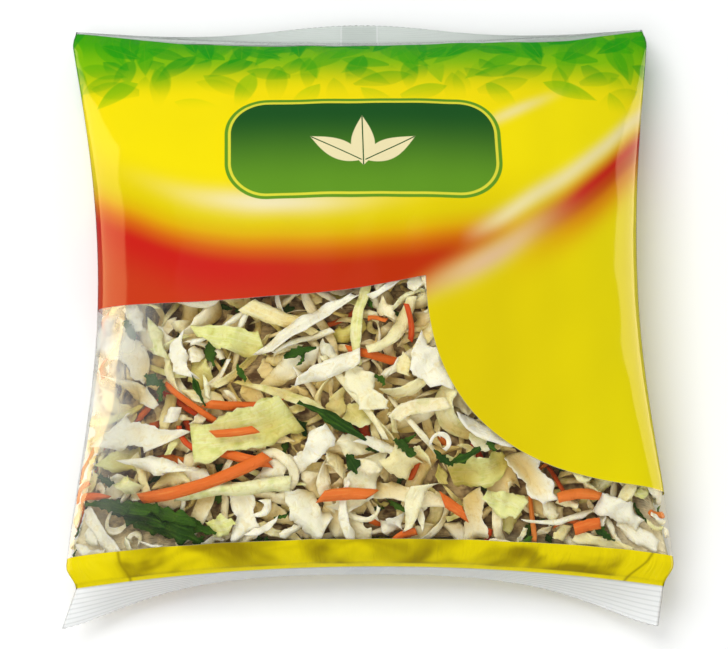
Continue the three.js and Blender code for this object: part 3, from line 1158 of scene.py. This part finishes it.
grainOutputs = {"Fibres": "Float", "Blotches": "Float", "Crinkle": "Float"}
grainGroup = makeGroup("grain", {"Fibre": 1}, grainOutputs, grainValues)
foodColours = {
    "white": linear(255, 249, 222),
    "cream": linear(251, 237, 192),
    "yellow": linear(245, 230, 138),
    "paleGreen": linear(234, 234, 152),
    "leafGreen": linear(196, 204, 96),
    "carrot": linear(228, 110, 34),
    "carrotPale": linear(242, 152, 68),
    "carrotRed": linear(214, 76, 24),
    "parsley": linear(26, 62, 0),
    "parsleyPale": linear(76, 120, 16),
    "warmShade": linear(238, 224, 182),
    "deepShade": linear(236, 217, 166),
    # painted shade: the slaw deep between the pieces, tan and dark brown
    "core": linear(200, 170, 112),
    "coreDeepShade": linear(92, 64, 34),
}


# A colouring is given the grain's fibres, blotches and crinkles, three chances of a piece's own, and its
# depth under the film in centimetres

def cabbageColour(greenFrom, fibres, blotches, crinkle, green, cream, yellow, depth):
    colour = foodColours
    mixed = layOver(colour["white"], colour["cream"], rangeOf(cream, 0.3, 1))
    mixed = layOver(mixed, colour["yellow"], rangeOf(yellow, 0.5, 1, 0, 0.55))
    mixed = layOver(mixed, colour["paleGreen"], rangeOf(green, greenFrom, greenFrom + 0.3))
    mixed = layOver(mixed, colour["leafGreen"], rangeOf(blotches, 0.45, 0.7), rangeOf(green, 0.4, 1), 0.6)
    mixed = layOver(mixed, colour["white"], rangeOf(fibres, 0.45, 0.75, 0, 0.35))
    mixed = layOver(mixed, colour["warmShade"], rangeOf(crinkle, 0.3, 0.5, 0.5, 0), blend="MULTIPLY")
    return layOver(mixed, colour["deepShade"], rangeOf(depth, 0.3, 1), blend="MULTIPLY")


def shredColour(*values):
    return cabbageColour(0.78, *values)


def leafColour(*values):
    return cabbageColour(0.55, *values)


def carrotColour(fibres, blotches, crinkle, pale, red, spare, depth):
    colour = foodColours
    mixed = layOver(colour["carrot"], colour["carrotPale"], rangeOf(pale, 0.2, 1, 0, 0.8))
    mixed = layOver(mixed, colour["carrotRed"], rangeOf(red, 0.5, 0.9))
    mixed = layOver(mixed, colour["carrotPale"], rangeOf(fibres, 0.5, 0.8, 0, 0.5))
    return layOver(mixed, colour["deepShade"], rangeOf(depth, 0.15, 0.8), blend="MULTIPLY")


def parsleyColour(fibres, blotches, crinkle, pale, second, third, depth):
    colour = foodColours
    mixed = layOver(colour["parsley"], colour["parsleyPale"], pale, 0.6)
    mixed = layOver(mixed, colour["parsleyPale"], rangeOf(fibres, 0.45, 0.75, 0, 0.6))
    return layOver(mixed, colour["deepShade"], rangeOf(depth, 0.15, 0.8), blend="MULTIPLY")


def coreColour(fibres, blotches, crinkle, first, second, third, depth):
    mixed = layOver(foodColours["coreDeepShade"], foodColours["core"], rangeOf(blotches, 0.35, 0.65))
    return layOver(foodColours["cream"], mixed, rangeOf(depth, 0.3, 0.9))  # cream where pressed close at the folds, painted shade deeper down


def foodMaterial(name, roughness, fibreHeight, crinkleHeight, colouring):
    material, shader = newMaterial(name)
    tree = material.node_tree
    grain = useGroup(tree, grainGroup, 1)
    tone = addNode(tree, "ShaderNodeAttribute", attribute_name="tone").outputs
    chances = splitColour(Value(tone["Color"]))[:3]
    setShader(shader, grain[2] * crinkleHeight + grain[0] * fibreHeight, {
        "Base Color": colouring(*grain, *chances, Value(tone["Alpha"])),
        "Roughness": roughness,
        "Specular IOR Level": 0.3,
    })
    if "cabbage" in name:  # cut cabbage is a little see-through
        shader.inputs["Subsurface Weight"].default_value = 0.35
        shader.inputs["Subsurface Radius"].default_value = (1, 0.9, 0.5)
        shader.inputs["Subsurface Scale"].default_value = 0.0012
    return material


foodMaterials = {  # name, roughness, height of its fibres and of its crinkles in millimetres, colouring
    "cabbageShreds": foodMaterial("cabbage", 0.34, 0.22, 0.5, shredColour),
    "cabbageLeaves": foodMaterial("cabbageLeaf", 0.34, 0.1, 0.35, leafColour),
    "carrotSticks": foodMaterial("carrot", 0.38, 0.25, 0.4, carrotColour),
    "parsley": foodMaterial("parsley", 0.5, 0.4, 0.6, parsleyColour),
    "slawCore": foodMaterial("slawCore", 0.5, 0.8, 0.8, coreColour),
}
for kind in kindNames + ["slawCore"]:
    piece = makeCore() if kind == "slawCore" else joinPieces(kind)
    piece.data.materials.append(foodMaterials[kind])
    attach(piece, "root")
    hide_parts("bag")


# Studio

studio = {
    "elevation": 71.85,  # degrees above the table, from the bottom end of the pack
    "distance": 1.180,
    "aim": (-0.0005, -0.0068, 0.0228),
    "roll": -0.25,
    "sensorWidth": 36,
    "focalPixels": 3304,
    "frameWidth": 728,
    "worldLight": (0.53, 0.16),  # on surfaces, and as mirrored in them
    "softboxes": (  # place and power
        ("topSoftbox", (-0.4, 0.4, 1.2), 8.4),
        ("frontSoftbox", (-0.2, -0.7, 1.0), 4),
    ),
    "sideSoftboxes": (  # how far aside, from which height to which, power for each metre of it, and tint
        ("leftSoftbox", -0.75, -0.34, 0.27, 11, (1, 0.68, 0.28)),
        ("rightSoftbox", 0.75, -0.5, 0.2, 11, (1, 0.76, 0.48)),
    ),
}


def addCamera():
    tilt = math.radians(studio["elevation"])
    away = (0, -math.cos(tilt), math.sin(tilt))
    place = [aim + studio["distance"] * step for aim, step in zip(studio["aim"], away)]
    bpy.ops.object.camera_add(location=place, rotation=(math.pi / 2 - tilt, 0, 0))
    camera = namedActive("photoCamera")
    camera.rotation_euler.rotate_axis("Z", math.radians(studio["roll"]))
    camera.data.sensor_width = studio["sensorWidth"]
    camera.data.lens = studio["sensorWidth"] * studio["focalPixels"] / studio["frameWidth"]
    camera.data.clip_start = 0.01
    scene.camera = camera


def addSoftbox(name, place, size, power, aim=(0, 0, 0.03)):
    bpy.ops.object.light_add(type="AREA", location=place)
    light = namedActive(name)
    light.data.shape = "RECTANGLE"
    light.data.size, light.data.size_y = size
    light.data.energy = power
    away = np.array(place) - np.array(aim)
    side = math.atan2(away[0], away[2])
    back = math.asin(away[1] / np.linalg.norm(away))
    light.rotation_euler = (-back, side, 0)
    light.visible_camera = False
    return light


def addFloor():
    bpy.ops.mesh.primitive_plane_add(size=6, location=(0, 0, 0))
    floor = namedActive("paleFloor")
    material, shader = newMaterial("paleFloor")
    shader.inputs["Base Color"].default_value = linear(254, 255, 255)
    shader.inputs["Roughness"].default_value = 0.9
    floor.data.materials.append(material)
    floor.visible_glossy = False  # its white isn't mirrored in the film


def addRoomLight():
    world = bpy.data.worlds.new("softRoom")
    world.use_nodes = True
    room = world.node_tree
    path = room.nodes.new("ShaderNodeLightPath").outputs
    mirrored = rangeLinear(Value(path["Is Glossy Ray"]), 0, 1, *studio["worldLight"])
    background = room.nodes["Background"]
    background.inputs["Color"].default_value = (1, 1, 1, 1)
    connect(background.inputs["Strength"], rangeLinear(Value(path["Is Camera Ray"]), 0, 1, mirrored, 1))
    scene.world = world


def addStudio():
    deselectAll()
    addCamera()
    addFloor()
    for name, place, power in studio["softboxes"]:
        above = addSoftbox(name, place, (0.8, 0.8), power)
        above.visible_glossy = False  # it lights the pack but isn't mirrored in the film
    for name, x, low, high, power, tint in studio["sideSoftboxes"]:
        middle, height = (low + high) / 2, high - low  # mirrored as a pale strip down each side
        side = addSoftbox(name, (x, 0, middle), (height, 1.0), power * height, aim=(0, 0, middle))
        side.data.color = tint
        side.visible_diffuse = False
    addRoomLight()
    scene.view_settings.view_transform = "Standard"


addStudio()
print("studio: camera and lights")
